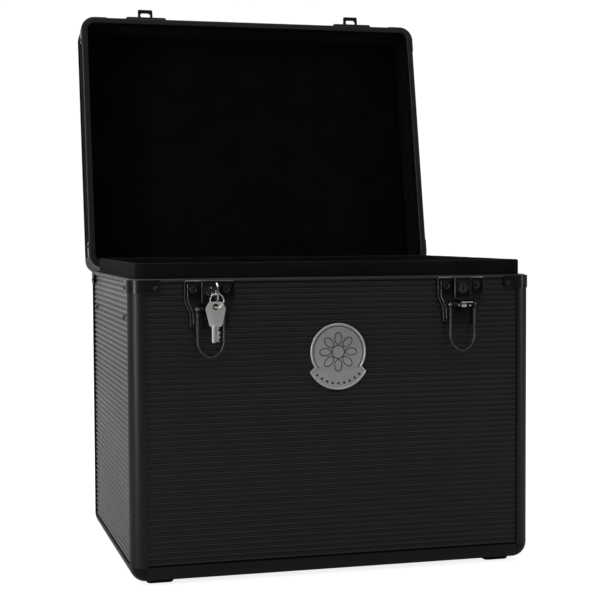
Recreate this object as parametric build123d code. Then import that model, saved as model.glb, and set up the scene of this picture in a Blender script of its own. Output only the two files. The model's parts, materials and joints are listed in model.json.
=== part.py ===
from build123d import *
import math
import os

# Black aluminium transport case with a deep lid, two key-locked draw latches and a lift-out tray.
# The case is laid out about the middle of its own footprint: +X to the right, -Y to the front, +Z up.
# The lid is modelled shut and then turned to its stop, which is the rest pose. Everything is then moved
# along Y, so that the origin is on the floor under the middle of the open case.

# ---- driving dimensions (mm) ----
WIDTH, DEPTH = 400.0, 291.0          # outside of the edge extrusions
BODY_H, LID_H = 284.0, 60.0          # underside to rim, rim to lid top
FOOT_H, FOOT_SIDE, FOOT_INSET = 3.5, 26.0, 16.5
EDGE_R = 15.0                        # rounding of every outer edge
RECESS = 1.0                         # panels sit this far inside the extrusions
BODY_WALL, LID_WALL = 5.0, 4.5       # panel thickness
BODY_LEG, LID_LEG = 7.5, 6.5         # inner face of the extrusions, from the outside
SLOT = 3.0                           # panel engagement in a slot
RIM_BAND, RIM_SLOT = 9.5, 4.0        # height of the rim, and of the metal above its slot
RIM_GAP = 0.4                        # between the two rims when shut
LINER_T, LIP_H, LINER_R = 3.5, 14.5, 10.0
PAD_T = 4.0
LID_PAD_T = 7.5

HINGE_BACK = 4.5                     # pin axis behind the back face
LID_OPEN = 101.0                     # degrees, from shut to the stop
HINGE_X, HINGE_W, HINGE_LEAF = 120.0, 46.0, 34.0
PIN_R, KNUCKLE_R, RUN = 1.5, 3.0, 0.05

LATCH_X = 125.0                      # latch centres, each side of the middle
LATCH_PIN_Y, LATCH_PIN_Z = 5.5, 28.5 # pin axis: out from the front face, below the rim
LATCH_PIN_R, LATCH_KNUCKLE_R = 1.1, 2.9
LEVER_HW, LEVER_BOTTOM, LEVER_FACE = 8.75, 24.5, 6.8
PLUG_Z, PLUG_R = 11.8, 5.0           # lock axis below the rim
BAIL_X, BAIL_WIRE, BAIL_REACH = 12.5, 1.2, 45.3
KEY_T, KEY_L, BOW_L, BOW_W = 1.8, 38.0, 23.0, 18.2
RING_R, RING_WIRE, RING_SAG, RING_TURN = 6.4, 0.65, 1.15, -33.0
KEY_OUT = 39.0                       # outer end of the key in the lock, from the front face

BADGE_Z, BADGE_R, BADGE_T = 71.9, 27.6, 2.0
RIBBON_DROP, RIBBON_R = 4.77, 31.6

LEDGE_RIVET_Y, LEDGE_RIVET_Z = 102.0, 37.5
TRAY_H, TRAY_WALL = 45.0, 2.5

HANDLE_X, HANDLE_REACH, HANDLE_GRIP_R = 66.0, 40.0, 10.0
HANDLE_PIN_H = 11.0                  # pin axis above the lid top

# ---- derived ----
HW, HD = WIDTH / 2, DEPTH / 2
FLOOR_Z = FOOT_H
RIM_Z = FLOOR_Z + BODY_H
TOP_Z = RIM_Z + LID_H
FRONT = -HD
HINGE_Y = HD + HINGE_BACK
os.makedirs("parts", exist_ok=True)
nodes = {}

LID_AXIS = Axis((0, HINGE_Y, RIM_Z), (1, 0, 0))


def block(x0, x1, y0, y1, z0, z1):
    return Pos((x0 + x1) / 2, (y0 + y1) / 2, (z0 + z1) / 2) * Box(x1 - x0, y1 - y0, z1 - z0)


def rod(axis, a, b, p, q, r):
    """Cylinder along an axis from a to b; p and q are the other two coordinates in x, y, z order."""
    mid, length = (a + b) / 2, b - a
    if axis == "x":
        return Pos(mid, p, q) * Rot(0, 90, 0) * Cylinder(r, length)
    if axis == "y":
        return Pos(p, mid, q) * Rot(90, 0, 0) * Cylinder(r, length)
    return Pos(p, q, mid) * Cylinder(r, length)


def dome(r, h):
    """Rivet head: a shallow dome on z = 0, pointing to +Z."""
    rs = (r * r + h * h) / (2 * h)
    return Pos(0, 0, h - rs) * Sphere(rs) & Pos(0, 0, h / 2) * Cylinder(r, h)


def dome_at(x, y, z, way, r=2.6, h=1.2):
    turn = {"-y": Rot(90, 0, 0), "+y": Rot(-90, 0, 0), "-x": Rot(0, -90, 0), "+x": Rot(0, 90, 0),
            "+z": Rot(0, 0, 0), "-z": Rot(180, 0, 0)}[way]
    return Pos(x, y, z) * turn * dome(r, h)


def mirrored(shape, x=True, y=False):
    """The shape with its mirror images across X, across Y, or across both."""
    out = [shape]
    if x:
        out += [s.mirror(Plane.YZ) for s in out]
    if y:
        out += [s.mirror(Plane.XZ) for s in out]
    return out


def opened(shapes):
    """Lid pieces, modelled shut, turned to the open stop."""
    return [s.rotate(LID_AXIS, -LID_OPEN) for s in as_list(shapes)]


def as_list(shapes):
    return shapes if isinstance(shapes, (list, tuple)) else [shapes]


def save(name, shapes):
    """Keep the solids of one node until all are placed."""
    solids = [s for shape in as_list(shapes) for s in shape.solids()]
    nodes[name] = solids


def rounded_plate(hx, hy, r, z0, z1):
    return Pos(0, 0, z0) * extrude(RectangleRounded(2 * hx, 2 * hy, r), z1 - z0)


def ring_frame(leg, z0, z1):
    """Band round the case: outside at the extrusions, inside at the leg depth."""
    return rounded_plate(HW, HD, EDGE_R, z0, z1) - rounded_plate(
        HW - leg, HD - leg, EDGE_R - leg, z0 - 1, z1 + 1)


def edge_section(wall, leg):
    """Section of an edge extrusion. The outer corner is at (0, 0) and the case is towards +X, +Y."""
    r, a, b = EDGE_R, RECESS, RECESS + wall
    s, m = r - SLOT, r - r * math.sqrt(0.5)
    path = Polyline((r, 0), (r, a), (s, a), (s, b), (r, b), (r, leg), (leg, leg),
                    (leg, r), (b, r), (b, s), (a, s), (a, r), (0, r))
    return make_face(path + ThreePointArc((0, r), (m, m), (r, 0)))


def corner_cap(leg):
    """One eighth of a ball, for the corner at the left, front and bottom, hollowed for the lining."""
    ball = Pos(EDGE_R, EDGE_R, EDGE_R) * Sphere(EDGE_R)
    cap = ball & block(0, EDGE_R, 0, EDGE_R, 0, EDGE_R)
    return cap - block(leg, 20, leg, 20, BODY_LEG, 20)


def shell(wall, leg, z_edge, z_rim):
    """Panels, posts, edges and corner caps of a box half, with its closed end at z_edge."""
    up = 1 if z_rim > z_edge else -1
    inner = RECESS + wall
    z_slot = z_edge + up * (EDGE_R - SLOT)
    z_top = z_rim - up * RIM_SLOT
    z0, z1 = sorted((z_slot, z_top))
    x_in, y_in = HW - EDGE_R + SLOT, HD - EDGE_R + SLOT
    pieces = {
        "front_panel": block(-x_in, x_in, -HD + RECESS, -HD + inner, z0, z1),
        "back_panel": block(-x_in, x_in, HD - inner, HD - RECESS, z0, z1),
        "left_panel": block(-HW + RECESS, -HW + inner, -y_in, y_in, z0, z1),
        "right_panel": block(HW - inner, HW - RECESS, -y_in, y_in, z0, z1),
    }
    flat = sorted((z_edge + up * RECESS, z_edge + up * (RECESS + BODY_WALL)))
    pieces["end_panel"] = block(-x_in, x_in, -y_in, y_in, *flat)
    # posts
    p0, p1 = sorted((z_edge + up * EDGE_R, z_rim - up * RIM_BAND))
    post = Pos(-HW, -HD, p0) * extrude(edge_section(wall, leg), p1 - p0)
    pieces["corner_posts"] = mirrored(post, True, True)
    # edges round the closed end: a leg for the wall panels and one for the end panel
    section = edge_section(BODY_WALL, BODY_LEG) if wall == BODY_WALL else lid_top_section()
    along_y = Plane(origin=(-HW, -(HD - EDGE_R), z_edge), x_dir=(1, 0, 0), z_dir=(0, -up, 0))
    along_x = Plane(origin=(-(HW - EDGE_R), -HD, z_edge), x_dir=(0, 1, 0), z_dir=(up, 0, 0))
    side = along_y * extrude(section, -up * 2 * (HD - EDGE_R))
    front = along_x * extrude(section, up * 2 * (HW - EDGE_R))
    pieces["edges"] = mirrored(side, True, False) + mirrored(front, False, True)
    cap = corner_cap(leg)
    if up < 0:
        cap = cap.mirror(Plane.XY)
    cap = Pos(-HW, -HD, z_edge) * cap
    for name in ("front_panel", "left_panel", "end_panel"):
        cap -= pieces[name]
    pieces["corner_caps"] = mirrored(cap, True, True)
    # rim
    r0, r1 = sorted((z_rim, z_rim - up * RIM_BAND))
    rim = ring_frame(leg, r0, r1)
    edge = [e for e in rim.edges() if abs(e.center().Z - z_rim) < 0.01
            and min(abs(abs(e.center().X) - HW), abs(abs(e.center().Y) - HD)) < EDGE_R * 0.4]
    rim = fillet(edge, 0.9)
    for name in ("front_panel", "back_panel", "left_panel", "right_panel"):
        rim -= pieces[name]
    pieces["rim_frame"] = rim
    return pieces


def lid_top_section():
    """Like edge_section, with the lid's thinner side wall (towards +Y) and the thicker top panel."""
    r, a = EDGE_R, RECESS
    b, c = a + LID_WALL, a + BODY_WALL
    s, m = r - SLOT, r - r * math.sqrt(0.5)
    path = Polyline((r, 0), (r, a), (s, a), (s, c), (r, c), (r, c + 1.5), (LID_LEG, c + 1.5),
                    (LID_LEG, r), (b, r), (b, s), (a, s), (a, r), (0, r))
    return make_face(path + ThreePointArc((0, r), (m, m), (r, 0)))


# ---- body ----
body = shell(BODY_WALL, BODY_LEG, FLOOR_Z, RIM_Z)
for key, shape in body.items():
    save({"end_panel": "body_bottom_panel", "edges": "body_bottom_edges",
          "corner_caps": "body_bottom_corner_caps"}.get(key, f"body_{key}"), shape)

# feet stand under the bottom panel, just inside the edge extrusions
foot = Pos(-HW + FOOT_INSET + FOOT_SIDE / 2, -HD + FOOT_INSET + FOOT_SIDE / 2, 0) * extrude(
    RectangleRounded(FOOT_SIDE, FOOT_SIDE, 5), FOOT_H + RECESS)
foot = chamfer(foot.edges().group_by(Axis.Z)[0], 1.2)
save("feet", mirrored(foot, True, True))


# corner brackets: a thin strap round each rim corner, with a rivet on each arm
BRACKET_ARM, BRACKET_T, BRACKET_H = 29.0, 0.8, 12.0


def bracket(z0, z1):
    outer = Pos(0, 0, z0) * extrude(
        RectangleRounded(WIDTH + 2 * BRACKET_T, DEPTH + 2 * BRACKET_T, EDGE_R + BRACKET_T), z1 - z0)
    inner = rounded_plate(HW, HD, EDGE_R, z0 - 1, z1 + 1)
    reach = block(-HW - 5, -HW + BRACKET_ARM, -HD - 5, -HD + BRACKET_ARM, z0, z1)
    return (outer - inner) & reach


def bracket_rivets(z):
    a = 25.0
    return mirrored(dome_at(-HW + a, -HD - BRACKET_T, z, "-y", 2.3, 1.0), True, True) + mirrored(
        dome_at(-HW - BRACKET_T, -HD + a, z, "-x", 2.3, 1.0), True, True)


save("body_rim_brackets", mirrored(bracket(RIM_Z - 1 - BRACKET_H, RIM_Z - 1), True, True))

# velvet-covered lining boards, which stand above the rim as a lip that centres the lid
lx, ly = HW - BODY_LEG, HD - BODY_LEG
lz0, lz1 = FLOOR_Z + BODY_LEG, RIM_Z + LIP_H
save("lining_front", block(-lx + LINER_R, lx - LINER_R, -ly, -ly + LINER_T, lz0, lz1))
save("lining_back", block(-lx + LINER_R, lx - LINER_R, ly - LINER_T, ly, lz0, lz1))
save("lining_left", block(-lx, -lx + LINER_T, -ly + LINER_R, ly - LINER_R, lz0, lz1))
save("lining_right", block(lx - LINER_T, lx, -ly + LINER_R, ly - LINER_R, lz0, lz1))
quarter = rod("z", lz0, lz1, -lx + LINER_R, -ly + LINER_R, LINER_R) - rod(
    "z", lz0 - 1, lz1 + 1, -lx + LINER_R, -ly + LINER_R, LINER_R - LINER_T)
quarter &= block(-lx, -lx + LINER_R, -ly, -ly + LINER_R, lz0, lz1)
save("lining_corners", mirrored(quarter, True, True))
inx, iny = lx - LINER_T, ly - LINER_T
save("lining_floor_pad", rounded_plate(inx - 0.3, iny - 0.3, LINER_R - LINER_T, lz0, lz0 + PAD_T))

# tray ledges: angle strips on the side linings, riveted through the side walls
ledge_z = RIM_Z - LEDGE_RIVET_Z
strip = block(-inx, -inx + 1.5, -115, 115, ledge_z - 7, ledge_z + 7)
ledge = strip + block(-inx, -inx + 12, -115, 115, ledge_z - 7, ledge_z - 5.5)
for side, shape in zip(("left", "right"), mirrored(ledge)):
    save(f"tray_ledge_{side}", shape)
ledge_rivets = [s for y in (-LEDGE_RIVET_Y, LEDGE_RIVET_Y) for s in mirrored(
    dome_at(-HW + RECESS, y, ledge_z, "-x", 3.4, 1.3))]
save("body_rivets", bracket_rivets(RIM_Z - 8.5) + ledge_rivets)

# round badge plate with a curved ribbon below it, left blank
bz = RIM_Z - BADGE_Z
bface = FRONT + RECESS
disc = rod("y", bface - BADGE_T, bface, 0, bz, BADGE_R)
disc -= rod("y", bface - BADGE_T - 1, bface - BADGE_T + 0.5, 0, bz, BADGE_R - 2.2)
ribbon = rod("y", bface - BADGE_T + 0.4, bface, 0, bz - RIBBON_DROP, RIBBON_R)
ribbon -= rod("y", bface - 5, bface + 1, 0, bz, BADGE_R)
wedge = Plane.XZ * make_face(Polyline((0, 8.8), (-60, -50), (-60, -60), (60, -60), (60, -50), (0, 8.8)))
wedge = Pos(0, 0, bz) * extrude(wedge, 200, both=True)
save("badge_plate", disc + (ribbon & wedge))


# ---- rear stop hinges ----
def leaf(up):
    """Plate on the back face with its share of the knuckles: up = 1 for the lid, -1 for the body."""
    lo, hi = sorted((RIM_Z + up * 4.0, RIM_Z + up * HINGE_LEAF))
    plate = block(-HINGE_W / 2, HINGE_W / 2, HD, HD + 2.0, lo, hi)
    thirds = [(-HINGE_W / 2, -9.7), (9.7, HINGE_W / 2)] if up < 0 else [(-9.3, 9.3)]
    for a, b in thirds:
        lo, hi = sorted((RIM_Z, RIM_Z + up * 4.2))
        plate += block(a, b, HD, HD + 2.0, lo, hi)
        plate += rod("x", a, b, HINGE_Y, RIM_Z, KNUCKLE_R)
    bore = PIN_R if up < 0 else PIN_R + RUN
    plate -= rod("x", -HINGE_W, HINGE_W, HINGE_Y, RIM_Z, bore)
    for x in (-15, 15):
        for z in (12, 26):
            plate += dome_at(x, HD + 2.0, RIM_Z + up * z, "+y", 2.6, 1.1)
    return plate


hinge_pin = rod("x", -HINGE_W / 2 - 1, HINGE_W / 2 + 1, HINGE_Y, RIM_Z, PIN_R)
pair = (-HINGE_X, HINGE_X)
save("hinge_body_leaves", [Pos(x, 0, 0) * leaf(-1) for x in pair])
save("hinge_pins", [Pos(x, 0, 0) * hinge_pin for x in pair])
save("hinge_lid_leaves", opened([Pos(x, 0, 0) * leaf(1) for x in pair]))

# ---- lid ----
lid = shell(LID_WALL, LID_LEG, TOP_Z, RIM_Z + RIM_GAP)
for key, shape in lid.items():
    save({"end_panel": "lid_top_panel", "edges": "lid_top_edges",
          "corner_caps": "lid_top_corner_caps"}.get(key, f"lid_{key}"), opened(shape))
save("lid_rim_brackets", opened(mirrored(bracket(RIM_Z + 1.4, RIM_Z + 1.4 + BRACKET_H), True, True)))
save("lid_rivets", opened(bracket_rivets(RIM_Z + 8.5)))

pad_top = TOP_Z - RECESS - BODY_WALL - 1.5
px, py = HW - LID_LEG, HD - LID_LEG
save("lid_lining_pad", opened(block(-px, px, -py, py, pad_top - LID_PAD_T, pad_top)))
z0, z1 = RIM_Z + RIM_GAP + RIM_BAND, TOP_Z - EDGE_R
t = LID_LEG - RECESS - LID_WALL
ex, ey = HW - EDGE_R, HD - EDGE_R
lid_walls = mirrored(block(-px - t, -px, -ey, ey, z0, z1)) + mirrored(
    block(-ex, ex, -py - t, -py, z0, z1), False, True)
save("lid_lining_walls", opened(lid_walls))

# keepers: a riveted plate on the lid front with a slotted tab that the wire bail hooks over
KEEPER_W, KEEPER_T, TAB_W, TAB_OUT = 46.5, 2.6, 17.0, 13.5
keeper = block(-KEEPER_W / 2, KEEPER_W / 2, FRONT - KEEPER_T, FRONT, RIM_Z + 1.4, RIM_Z + 23.4)
keeper = fillet(keeper.edges().filter_by(Axis.Y), 2.5)
keeper = chamfer(keeper.edges().group_by(Axis.Y)[0], 0.8)
tab = block(-TAB_W / 2, TAB_W / 2, FRONT - TAB_OUT, FRONT - KEEPER_T + 0.5, RIM_Z + 8, RIM_Z + 10)
tab = fillet(tab.edges().filter_by(Axis.Z).group_by(Axis.Y)[0], 1.6)
slot_y = FRONT - 6.8
tab -= Pos(0, slot_y, RIM_Z + 9) * extrude(SlotOverall(11.5, 5.6), 5, both=True)
gusset = make_face(Polyline((0, 0), (-5.5, 0), (0, 6), (0, 0)))
for x in (-TAB_W / 2, TAB_W / 2 - 1.4):
    web = Plane(origin=(x, FRONT - KEEPER_T + 0.2, RIM_Z + 10), x_dir=(0, 1, 0), z_dir=(1, 0, 0))
    keeper += web * extrude(gusset, 1.4)
keeper += tab
for x in (-16.5, 16.5):
    keeper += dome_at(x, FRONT - KEEPER_T, RIM_Z + 15, "-y", 2.6, 1.1)
for side, x in zip(("left", "right"), (-LATCH_X, LATCH_X)):
    save(f"keeper_{side}", opened(Pos(x, 0, 0) * keeper))

# carry handle on the lid top; in the lid's open pose it hangs plumb
HANDLE_HANG = LID_OPEN - 90.0
pin_z = TOP_Z - RECESS + HANDLE_PIN_H
plate = block(HANDLE_X - 17, HANDLE_X + 17, -15, 15, TOP_Z - RECESS, TOP_Z + 0.8)
plate = fillet(plate.edges().filter_by(Axis.Z), 4)
for x in (HANDLE_X - 9.3, HANDLE_X + 6.3):
    lug = block(x, x + 3, -6, 6, TOP_Z, pin_z) + rod("x", x, x + 3, 0, pin_z, 6)
    plate += lug
plate -= rod("x", HANDLE_X - 20, HANDLE_X + 20, 0, pin_z, 2.5)
for x in (HANDLE_X - 12.5, HANDLE_X + 12.5):
    for y in (-10.5, 10.5):
        plate += dome_at(x, y, TOP_Z + 0.8, "+z", 2.4, 1.0)
mounts = mirrored(plate)
for side, shape in zip(("right", "left"), mounts):
    save(f"handle_mount_{side}", opened(shape))
handle_pin = rod("x", HANDLE_X - 10.5, HANDLE_X + 10.5, 0, pin_z, 2.5)
save("handle_pins", opened(mirrored(handle_pin)))

arm = rod("x", HANDLE_X - 5.8, HANDLE_X + 5.8, 0, pin_z, 5.5)
arm += block(HANDLE_X - 4.5, HANDLE_X + 4.5, 2, HANDLE_REACH - 2, pin_z - 3.5, pin_z + 3.5)
arm += rod("x", HANDLE_X - 14, HANDLE_X + 4.5, HANDLE_REACH, pin_z, 6.5)
arm -= rod("x", HANDLE_X - 20, HANDLE_X + 20, 0, pin_z, 2.5 + RUN)
arms = mirrored(arm)
grip = rod("x", -(HANDLE_X - 14), HANDLE_X - 14, HANDLE_REACH, pin_z, HANDLE_GRIP_R)
grip = chamfer(grip.edges().filter_by(GeomType.CIRCLE), 1.5)
# flat on the lid when shut is HANDLE_HANG short of plumb when the lid is open
plumb = Axis((0, 0, pin_z), (1, 0, 0))
for name, shape in (("handle_arms", arms), ("handle_grip", grip)):
    save(name, opened([s.rotate(plumb, HANDLE_HANG) for s in as_list(shape)]))

# ---- latches ----
py_, pz_ = FRONT - LATCH_PIN_Y, RIM_Z - LATCH_PIN_Z


def outline(points, r):
    """Closed face in the XZ plane from points (x, below the rim), with rounded corners."""
    pts = [(x, RIM_Z - d) for x, d in points]
    face = make_face(Polyline(*[(x, 0, z) for x, z in pts], (pts[0][0], 0, pts[0][1])))
    return fillet(face.vertices(), r)


def slab(face, y0, y1):
    """Extrude an XZ face from y0 to y1 (y0 nearer the front)."""
    solid = extrude(Pos(0, y1, 0) * face, y1 - y0, dir=(0, -1, 0))
    return solid


def latch_base():
    half = [(24.0, 2.0), (24.0, 21.0), (19.1, 32.0), (18.4, 43.5), (13.6, 48.8)]
    rim = [(x, d) for x, d in half] + [(-x, d) for x, d in reversed(half)]
    plate = slab(outline(rim, 1.6), FRONT - 1.2, FRONT)
    half = [(21.5, 4.4), (21.5, 20.5), (16.6, 32.0), (15.9, 42.6), (12.2, 46.4)]
    rim = [(x, d) for x, d in half] + [(-x, d) for x, d in reversed(half)]
    raised = slab(outline(rim, 1.4), FRONT - 2.3, FRONT - 1.2)
    plate += chamfer(raised.edges().group_by(Axis.Y)[0], 0.5)
    plate -= rod("y", FRONT - 5, FRONT + 1, 0, RIM_Z - PLUG_Z, 8.0)
    for x in (-10.9, 9.1):
        ear = block(x, x + 1.8, py_, FRONT - 1.2, pz_ - 3.4, pz_ + 3.4)
        ear += rod("x", x, x + 1.8, py_, pz_, 3.0)
        plate += ear
    return plate - rod("x", -20, 20, py_, pz_, LATCH_PIN_R)


def latch_lever():
    """Flat lever with the lock housing at its free end. It folds out about the pin."""
    face, back = FRONT - LEVER_FACE, FRONT - 2.6
    body_ = block(-LEVER_HW, LEVER_HW, face, back, RIM_Z - LEVER_BOTTOM, RIM_Z - 1.4)
    body_ = fillet(body_.edges().filter_by(Axis.Y), 1.5)
    body_ = chamfer(body_.edges().group_by(Axis.Y)[0], 0.7)
    body_ += rod("y", back, FRONT - 0.7, 0, RIM_Z - PLUG_Z, 6.5)
    body_ += block(-4.2, 4.2, face + 0.4, back - 0.2, pz_, RIM_Z - LEVER_BOTTOM + 1)
    body_ += rod("x", -4.2, 4.2, py_, pz_, LATCH_KNUCKLE_R)
    body_ -= rod("x", -20, 20, py_, pz_, LATCH_PIN_R + RUN)
    body_ -= rod("y", face - 5, FRONT + 1, 0, RIM_Z - PLUG_Z, PLUG_R + RUN)
    return body_


def latch_bail():
    """Wire loop that hangs from the pin ends and hooks over the keeper, with a tooth at its end."""
    legs_z = pz_ - BAIL_REACH + BAIL_X
    bow = Pos(0, py_, legs_z) * Rot(90, 0, 0) * Torus(BAIL_X, BAIL_WIRE)
    bow &= block(-20, 20, py_ - 5, py_ + 5, legs_z - 20, legs_z)
    loop = bow
    for x in (-BAIL_X, BAIL_X):
        loop += rod("z", legs_z, pz_ - 1.5, x, py_, BAIL_WIRE)
        loop += rod("x", x - BAIL_WIRE, x + BAIL_WIRE, py_, pz_, 2.5)
    end = pz_ - BAIL_REACH
    loop += block(-2.5, 2.5, py_ - 0.9, py_ + 0.9, end - 0.5, end + BAIL_WIRE + 0.8)
    return loop - rod("x", -20, 20, py_, pz_, LATCH_PIN_R + RUN)


def key_plate(notches):
    """Key lying in the XZ plane, outer end of the bow at z = 0 and blade down."""
    w = BOW_W / 2
    head = [(-6.0, 0), (6.0, 0), (w, -5.5), (w, -7.5), (5.6, -BOW_L), (-5.6, -BOW_L), (-w, -7.5), (-w, -5.5)]
    face = make_face(Polyline(*[(x, 0, z) for x, z in head], (head[0][0], 0, head[0][1])))
    solid = extrude(fillet(face.vertices(), 1.2), KEY_T / 2, both=True, dir=(0, 1, 0))
    solid -= rod("y", -5, 5, 0, -4.9, 3.0)
    blade = block(-4.0, 0.4, -0.6, 0.6, -KEY_L, -BOW_L + 1)
    blade += block(0.4, 4.0, -0.4, 0.4, -KEY_L + 1.5, -BOW_L - 1.5)
    for z, d in notches:
        blade -= block(4.0 - d, 5, -2, 2, -KEY_L + z - 0.8, -KEY_L + z + 0.8)
    return solid + blade


NOTCHES = ((4.0, 1.6), (7.5, 1.0), (10.5, 1.9))
pin = rod("x", -14.3, 14.3, py_, pz_, LATCH_PIN_R)
base, lever, bail = latch_base(), latch_lever(), latch_bail()
plug = rod("y", FRONT - LEVER_FACE - 0.3, FRONT - 0.8, 0, RIM_Z - PLUG_Z, PLUG_R)
keyway = block(-0.65, 0.65, FRONT - 20, FRONT, RIM_Z - PLUG_Z - 4.2, RIM_Z - PLUG_Z + 4.2)
rivet = mirrored(dome_at(15.2, FRONT - 2.3, RIM_Z - 10.2, "-y", 2.9, 1.2))
for side, x in zip(("left", "right"), (-LATCH_X, LATCH_X)):
    at = Pos(x, 0, 0)
    save(f"latch_base_{side}", at * base)
    save(f"latch_pin_{side}", at * pin)
    save(f"latch_lever_{side}", at * lever)
    save(f"latch_bail_{side}", at * bail)
    save(f"lock_plug_{side}", at * (plug - keyway))
save("latch_rivets", [Pos(x, 0, 0) * s for x in (-LATCH_X, LATCH_X) for s in rivet])

# the key in the left lock, its ring, and the spare key that hangs from the ring
lock_z = RIM_Z - PLUG_Z
hole_y = FRONT - KEY_OUT + 4.9
flat_key = key_plate(NOTCHES)
key_in = Pos(-LATCH_X, FRONT - KEY_OUT, lock_z) * Rot(90, 0, 0) * Rot(0, 0, 90) * flat_key
save("key_in_lock", key_in)
ring_z = lock_z - RING_SAG - RING_R
ring = Pos(-LATCH_X, hole_y, ring_z) * Rot(0, 0, RING_TURN) * Rot(90, 0, 0) * Torus(
    RING_R, RING_WIRE)
save("key_ring", ring)
save("spare_key", Pos(-LATCH_X, hole_y, ring_z - RING_R - 0.2 + 4.9) * flat_key)

# ---- lift-out tray ----
tx, ty = inx - 2.5, iny - 1.5
tz0 = ledge_z - 5.5
tray = rounded_plate(tx, ty, 6, tz0, tz0 + TRAY_H) - rounded_plate(
    tx - TRAY_WALL, ty - TRAY_WALL, 4, tz0 + TRAY_WALL, tz0 + TRAY_H + 1)
divider = block(-tx + 1, tx - 1, -2, 2, tz0 + 1, tz0 + TRAY_H)
finger = rod("y", -5, 5, 32, tz0 + 28, 9) + rod("y", -5, 5, -32, tz0 + 28, 9)
finger += block(-32, 32, -5, 5, tz0 + 19, tz0 + 37)
tray += divider - finger
for x in (-62, 62):
    tray += block(x - 1.2, x + 1.2, -ty + 1, 0, tz0 + 1, tz0 + TRAY_H - 8)
save("tray", tray)

# ---- origin under the middle of the open case, then one file per node ----
boxes = [s.bounding_box() for solids in nodes.values() for s in solids]
middle_y = (min(b.min.Y for b in boxes) + max(b.max.Y for b in boxes)) / 2
print(f"moved along Y by {-middle_y:.4f} mm")
for name, solids in nodes.items():
    placed = [Pos(0, -middle_y, 0) * s for s in solids]
    out = placed[0] if len(placed) == 1 else Compound(children=placed)
    out.label = name
    export_step(out, f"parts/{name}.step")
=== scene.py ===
import json
import math

import bpy
import bmesh
from mathutils import Matrix, Vector, noise
from mathutils.geometry import tessellate_polygon

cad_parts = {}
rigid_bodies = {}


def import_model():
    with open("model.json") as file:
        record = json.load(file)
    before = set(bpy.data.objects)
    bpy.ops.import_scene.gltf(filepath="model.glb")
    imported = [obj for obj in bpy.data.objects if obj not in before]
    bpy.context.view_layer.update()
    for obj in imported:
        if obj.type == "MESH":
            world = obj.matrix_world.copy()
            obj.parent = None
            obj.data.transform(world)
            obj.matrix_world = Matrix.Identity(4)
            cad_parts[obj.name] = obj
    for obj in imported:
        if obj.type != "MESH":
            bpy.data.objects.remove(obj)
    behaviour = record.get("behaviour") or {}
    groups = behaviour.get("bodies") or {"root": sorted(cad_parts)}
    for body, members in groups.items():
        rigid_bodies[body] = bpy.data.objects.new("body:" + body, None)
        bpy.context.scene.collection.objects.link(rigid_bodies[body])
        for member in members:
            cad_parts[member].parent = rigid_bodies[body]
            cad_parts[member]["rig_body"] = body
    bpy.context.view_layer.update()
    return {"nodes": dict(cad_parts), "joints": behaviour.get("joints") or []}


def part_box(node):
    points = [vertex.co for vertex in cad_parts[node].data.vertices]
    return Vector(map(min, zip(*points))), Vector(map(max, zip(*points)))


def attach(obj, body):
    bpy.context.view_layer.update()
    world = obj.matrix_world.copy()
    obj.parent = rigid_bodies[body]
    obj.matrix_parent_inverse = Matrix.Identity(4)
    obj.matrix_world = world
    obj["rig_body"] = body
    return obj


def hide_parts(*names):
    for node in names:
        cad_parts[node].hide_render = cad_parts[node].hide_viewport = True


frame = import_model()
NODES = frame["nodes"]

# ---- where things are ----
# Shapes are written in millimetres from the middle of the case at floor level, lid shut.
MM = 0.001
RIM_LO, RIM_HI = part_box("body_rim_frame")
CY = (RIM_LO.y + RIM_HI.y) / 2
HW, HD, RIM = RIM_HI.x / MM, (RIM_HI.y - RIM_LO.y) / 2 / MM, RIM_HI.z / MM
FRONT = -HD
LID_JOINT = next(j for j in frame["joints"] if j["name"] == "lid_hinge")
HINGE = Vector(LID_JOINT["pos_m"])
LID_TURN = math.radians(LID_JOINT["range_deg"][0])
LID = (Matrix.Translation(HINGE) @ Matrix.Rotation(LID_TURN, 4, "X")
       @ Matrix.Translation(-HINGE))
LID_BACK = LID.inverted()
PIN_LO, PIN_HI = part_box("latch_pin_left")
LATCH_X = -(PIN_LO.x + PIN_HI.x) / 2 / MM
PIN_Y = ((PIN_LO.y + PIN_HI.y) / 2 - CY) / MM
PIN_Z = (PIN_LO.z + PIN_HI.z) / 2 / MM
plug_lo, plug_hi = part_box("lock_plug_right")
PLUG_Z = (plug_lo.z + plug_hi.z) / 2 / MM
SIDES = (("left", -LATCH_X), ("right", LATCH_X))


def case_box(node):
    """Lowest and highest corner of a CAD node in case millimetres, with the lid shut."""
    back = LID_BACK if NODES[node]["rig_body"] == "lid" else Matrix.Identity(4)
    points = [back @ v.co for v in NODES[node].data.vertices]
    lo = [min(p[i] for p in points) / MM for i in range(3)]
    hi = [max(p[i] for p in points) / MM for i in range(3)]
    lo[1] -= CY / MM
    hi[1] -= CY / MM
    return lo, hi


# ---- materials ----
def node_of(tree, kind, **values):
    node = tree.nodes.new(kind)
    for key, value in values.items():
        node.inputs[key.replace("_", " ")].default_value = value
    return node


def math_node(tree, kind, a, b):
    """Math node of two sockets or numbers; gives its output."""
    node = tree.nodes.new("ShaderNodeMath")
    node.operation = kind
    for socket, value in zip(node.inputs, (a, b)):
        if isinstance(value, (int, float)):
            socket.default_value = value
        else:
            tree.links.new(value, socket)
    return node.outputs[0]


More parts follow.
